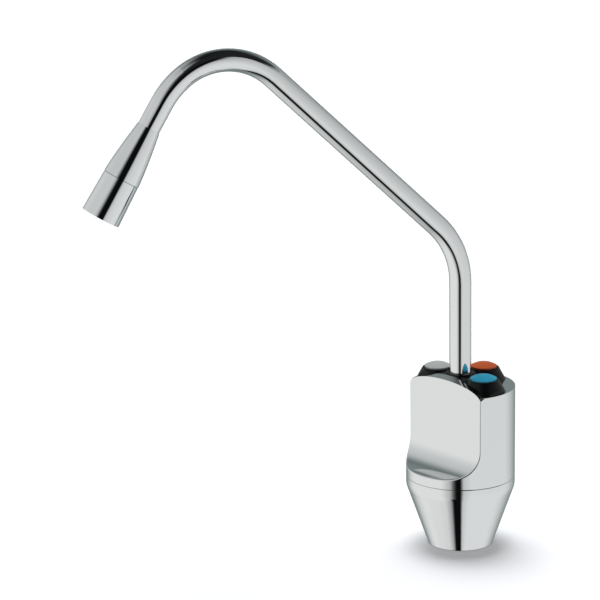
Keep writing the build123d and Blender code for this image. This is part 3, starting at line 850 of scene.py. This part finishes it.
@dataclass(frozen=True)
class Card:
    """A soft box or a flag round the tap, which only the chrome and the plastic's sheen show.

    Attributes:
        name: what the card is.
        left_deg: its left edge, measured round from the camera, positive to the camera's right.
        right_deg: its right edge.
        bottom_deg: its lower edge, above the horizon.
        top_deg: its upper edge.
        colour: its sRGB colour at the lower edge.
        top_colour: its sRGB colour at the upper edge; the same as below where it is left out.
        left_fade_deg: how wide its left edge fades.
        right_fade_deg: how wide its right edge fades.
        bottom_fade_deg: how wide its lower edge fades.
        top_fade_deg: how wide its upper edge fades.
        left_lean: how far its left edge moves right for each degree above lean_from_deg.
        right_lean: how far its right edge moves left for each degree below lean_from_deg.
        lean_from_deg: where its sides start to lean.
        shade_from_deg: where its colour starts to change upwards; the lower edge if left out.
    """

    name: str
    left_deg: float
    right_deg: float
    bottom_deg: float
    top_deg: float
    colour: str
    top_colour: str | None = None
    left_fade_deg: float = 10.0
    right_fade_deg: float = 10.0
    bottom_fade_deg: float = 10.0
    top_fade_deg: float = 10.0
    left_lean: float = 0.0
    right_lean: float = 0.0
    lean_from_deg: float = 0.0
    shade_from_deg: float | None = None

    def cover(self, azimuth_deg: float, elevation_deg: float) -> float:
        """Says how far the card covers a direction.

        Args:
            azimuth_deg: the direction round the tap, measured from the camera.
            elevation_deg: the direction above the horizon.

        Returns:
            A share from 0 to 1.
        """
        left = self.left_deg + self.left_lean * max(0.0, elevation_deg - self.lean_from_deg)
        right = self.right_deg - self.right_lean * max(0.0, self.lean_from_deg - elevation_deg)
        share = rises_about(left, self.left_fade_deg, azimuth_deg)
        share *= 1 - rises_about(right, self.right_fade_deg, azimuth_deg)
        share *= rises_about(self.bottom_deg, self.bottom_fade_deg, elevation_deg)
        return share * (1 - rises_about(self.top_deg, self.top_fade_deg, elevation_deg))

    def shade(self, elevation_deg: float) -> Vector:
        """Says what colour the card has at a height.

        Args:
            elevation_deg: the height above the horizon.

        Returns:
            The linear colour.
        """
        low = Vector(linear(self.colour)[:3])
        high = Vector(linear(self.top_colour or self.colour)[:3])
        start = self.bottom_deg if self.shade_from_deg is None else self.shade_from_deg
        share = (elevation_deg - start) / (self.top_deg - start)
        return low.lerp(high, min(1.0, max(0.0, share)))


@dataclass
class PhotoCamera:
    """The camera, where the photograph was taken from.

    Attributes:
        azimuth_deg: how far it stands round the tap, from the front towards +X.
        elevation_deg: how far it stands above the level of the point that it goes round.
        distance: how far it is from that point.
        look_at: the point that it goes round.
        yaw_deg: how far it then turns to its right.
        pitch_deg: how far it then tilts up.
        lens_mm: the focal length.
        sensor_mm: the sensor's width.
    """

    azimuth_deg: float = 45.9
    elevation_deg: float = 14.425
    distance: float = 1.35
    look_at: Vector = field(default_factory=lambda: Vector((0.0, 0.0, 0.130)))
    yaw_deg: float = -3.703
    pitch_deg: float = 0.323
    lens_mm: float = 148.6
    sensor_mm: float = 36.0

    def build(self) -> bpy.types.Object:
        """Places the camera and makes it the scene's.

        Returns:
            The camera object.
        """
        back = towards(self.azimuth_deg, self.elevation_deg)
        facing = (-back).to_track_quat("-Z", "Y").to_matrix()
        turn = Matrix.Rotation(math.radians(-self.yaw_deg), 3, "Y")
        tilt = Matrix.Rotation(math.radians(self.pitch_deg), 3, "X")
        data = bpy.data.cameras.new("photo_camera")
        data.lens = self.lens_mm
        data.sensor_width = self.sensor_mm
        camera = bpy.data.objects.new("photo_camera", data)
        place = Matrix.Translation(self.look_at + back * self.distance)
        camera.matrix_world = place @ (facing @ turn @ tilt).to_4x4()
        bpy.context.scene.collection.objects.link(camera)
        bpy.context.scene.camera = camera
        return camera


# From lower to upper layer: where two cards overlap, the later one is in front.
CARDS = (
    Card("dark_ceiling", -200, 200, 52, 120, "#202122", top_fade_deg=1, bottom_fade_deg=36),
    Card("front_flag", -60, 60, -95, 95, "#0C1010", left_fade_deg=20, right_fade_deg=20),
    Card("dark_corner", -12, 118, 36, 95, "#232425", bottom_fade_deg=12, right_fade_deg=40),
    Card(
        "left_upper_box", -126, -20, -40, 61, "#D5D7D8",
        left_fade_deg=44, right_fade_deg=26, bottom_fade_deg=10, top_fade_deg=34,
    ),
    Card(
        "left_box_skirt", -80, -20, -64, 22, "#CBCDCD",
        left_fade_deg=20, right_fade_deg=12, bottom_fade_deg=44, top_fade_deg=36,
        right_lean=0.1, lean_from_deg=-20,
    ),
    Card(
        "left_box", -134, -32, -64, 22, "#F6F8F7",
        left_fade_deg=60, right_fade_deg=24, bottom_fade_deg=44, top_fade_deg=36,
        right_lean=0.1, lean_from_deg=-20,
    ),
    Card(
        "right_box_skirt", 4, 60, -80, 35, "#D5D7D7", "#B4B6B6",
        left_fade_deg=9, right_fade_deg=20, bottom_fade_deg=24, top_fade_deg=14,
        left_lean=0.6, lean_from_deg=-20, shade_from_deg=-25,
    ),
    Card(
        "right_box", 14, 136, -80, 35, "#F0F2F2", "#C8CACA",
        left_fade_deg=24, right_fade_deg=70, bottom_fade_deg=24, top_fade_deg=14,
        left_lean=0.6, lean_from_deg=-20, shade_from_deg=-25,
    ),
)


@dataclass
class Studio:
    """A pale floor, a soft lamp overhead, the room's even light, and the cards that chrome reflects.

    Attributes:
        camera_azimuth_deg: where the camera stands, which the cards are placed by.
        card_distance: how far the cards are from the tap.
        card_height: the height that they are centred on.
        wall_colour: what shows between and behind the cards.
        dome_steps: how many steps the cards' dome has round and up.
        floor_radius: how far the floor goes.
        floor_sides: how many sides the floor's edge has.
        floor_colour: the floor's own colour.
        floor_lift: how much white the floor adds to what is seen of it, and not to its light on the tap.
        overhead_azimuth_deg: where the overhead soft box hangs, measured from the camera.
        overhead_elevation_deg: how high it hangs.
        overhead_width_deg: how wide it looks from the tap, which sets how soft the shadow is.
        overhead_level: how light a white floor is under it alone.
        room_level: how light a white floor is in the room's even light alone.
    """

    camera_azimuth_deg: float
    card_distance: float = 2.0
    card_height: float = 0.1
    wall_colour: str = "#848E8E"
    dome_steps: tuple[int, int] = (360, 120)
    floor_radius: float = 12.0
    floor_sides: int = 64
    floor_colour: str = "#F6F8FC"
    floor_lift: float = 0.13
    overhead_azimuth_deg: float = -172.0
    overhead_elevation_deg: float = 74.0
    overhead_width_deg: float = 38.0
    overhead_level: float = 0.78
    room_level: float = 0.3

    def direction(self, azimuth_deg: float, elevation_deg: float) -> Vector:
        """Turns a direction measured from the camera into one in the tap's frame."""
        return towards(azimuth_deg + self.camera_azimuth_deg, elevation_deg)

    def shade(self, azimuth_deg: float, elevation_deg: float) -> Vector:
        """Says what colour shows in one direction.

        Args:
            azimuth_deg: the direction round the tap, measured from the camera.
            elevation_deg: the direction above the horizon.

        Returns:
            The linear colour.
        """
        colour = Vector(linear(self.wall_colour)[:3])
        for card in CARDS:
            colour = colour.lerp(card.shade(elevation_deg), card.cover(azimuth_deg, elevation_deg))
        return colour

    def build_cards(self) -> bpy.types.Object:
        """Builds the cards as one dome, coloured point by point, that only reflections see.

        Returns:
            The dome object.
        """
        steps_round, steps_up = self.dome_steps
        mesh = bmesh.new()
        paint = mesh.verts.layers.float_color.new("shade")
        rows = []
        for up in range(steps_up + 1):
            elevation_deg = -90 + 180 * up / steps_up
            row = []
            for turn in range(steps_round):
                azimuth_deg = -180 + 360 * turn / steps_round
                point = self.direction(azimuth_deg, elevation_deg) * self.card_distance
                vertex = mesh.verts.new(point + Vector((0, 0, self.card_height)))
                vertex[paint] = (*self.shade(azimuth_deg, elevation_deg), 1.0)
                row.append(vertex)
            rows.append(row)
        for low, high in zip(rows, rows[1:]):
            bridge(mesh, low, high)
        dome = add_object("cards", mesh)
        material = blank_material("cards")
        tree = material.node_tree
        shade = add_node(tree, "ShaderNodeAttribute", attribute_name="shade")
        light = add_node(tree, "ShaderNodeEmission", {"Color": shade.outputs["Color"]})
        add_node(tree, "ShaderNodeOutputMaterial", {"Surface": light.outputs["Emission"]})
        dome.data.materials.append(material)
        dome.visible_camera = False
        dome.visible_diffuse = False
        dome.visible_transmission = False
        dome.visible_shadow = False
        dome.visible_volume_scatter = False
        log.info("%s: %s", dome.name, ", ".join(card.name for card in CARDS))
        return dome

    def build_floor(self) -> bpy.types.Object:
        """Builds the floor, white to the camera and keeping the tap's soft shadow.

        Returns:
            The floor object.
        """
        mesh = bmesh.new()
        bmesh.ops.create_circle(mesh, cap_ends=True, segments=self.floor_sides, radius=self.floor_radius)
        floor = add_object("floor", mesh)
        material = blank_material("pale_floor")
        tree = material.node_tree
        matt = add_node(tree, "ShaderNodeBsdfDiffuse", {"Color": linear(self.floor_colour)})
        lift = add_node(
            tree,
            "ShaderNodeMapRange",
            {"Value": self.seen_ray(tree), "To Max": self.floor_lift},
        )
        glow = add_node(tree, "ShaderNodeEmission", {"Strength": lift.outputs["Result"]})
        both = add_node(
            tree,
            "ShaderNodeAddShader",
            {0: matt.outputs["BSDF"], 1: glow.outputs["Emission"]},
        )
        add_node(tree, "ShaderNodeOutputMaterial", {"Surface": both.outputs["Shader"]})
        floor.data.materials.append(material)
        # Reflections look through the floor, at the cards' dome.
        floor.visible_glossy = False
        return floor

    def seen_ray(self, tree: bpy.types.NodeTree) -> bpy.types.NodeSocket:
        """Adds the nodes that are 1 for what the camera sees, straight, in metal or through glass.

        Args:
            tree: the node tree that takes the nodes.

        Returns:
            The socket that is 1 for such a ray and 0 for one that only carries light.
        """
        path = add_node(tree, "ShaderNodeLightPath")
        mirrored = add_node(
            tree,
            "ShaderNodeMath",
            {0: path.outputs["Is Camera Ray"], 1: path.outputs["Is Glossy Ray"]},
            operation="ADD",
        )
        seen = add_node(
            tree,
            "ShaderNodeMath",
            {0: mirrored.outputs["Value"], 1: path.outputs["Is Transmission Ray"]},
            operation="ADD",
            use_clamp=True,
        )
        return seen.outputs["Value"]

    def build_world(self) -> None:
        """Lights the tap evenly, and is white where the camera or a reflection sees it."""
        world = bpy.data.worlds.new("studio")
        bpy.context.scene.world = world
        world.use_nodes = True
        tree = world.node_tree
        tree.nodes.clear()
        level = add_node(
            tree,
            "ShaderNodeMapRange",
            {"Value": self.seen_ray(tree), "To Min": self.room_level, "To Max": 1.0},
        )
        light = add_node(tree, "ShaderNodeBackground", {"Strength": level.outputs["Result"]})
        add_node(tree, "ShaderNodeOutputWorld", {"Surface": light.outputs["Background"]})

    def build_overhead_box(self) -> bpy.types.Object:
        """Hangs the overhead soft box, far off, so that it lights the whole floor alike.

        Returns:
            The lamp object.
        """
        data = bpy.data.lights.new("overhead_box", "SUN")
        data.angle = math.radians(self.overhead_width_deg)
        data.energy = self.overhead_level * math.pi / math.sin(math.radians(self.overhead_elevation_deg))
        lamp = bpy.data.objects.new("overhead_box", data)
        towards_lamp = self.direction(self.overhead_azimuth_deg, self.overhead_elevation_deg)
        lamp.rotation_mode = "QUATERNION"
        lamp.rotation_quaternion = (-towards_lamp).to_track_quat("-Z", "Y")
        lamp.visible_glossy = False
        bpy.context.scene.collection.objects.link(lamp)
        return lamp

    def build(self) -> None:
        """Builds the floor, the world, the cards and the overhead soft box, and sets the plain view."""
        self.build_floor()
        self.build_world()
        self.build_cards()
        self.build_overhead_box()
        bpy.context.scene.view_settings.view_transform = "Standard"


def main() -> None:
    """Builds and dresses the tap, then the studio and the camera."""
    logging.basicConfig(level=logging.INFO, format="%(message)s")
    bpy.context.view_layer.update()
    finishes = Finishes()
    for assembly in (Housing(), ButtonDeck(), ValveWorks(), SwivelSpout(), Nozzle(), DeckMounting()):
        assembly.dress(finishes)
    camera = PhotoCamera()
    camera.build()
    Studio(camera_azimuth_deg=camera.azimuth_deg).build()


if __name__ == "__main__":
    main()
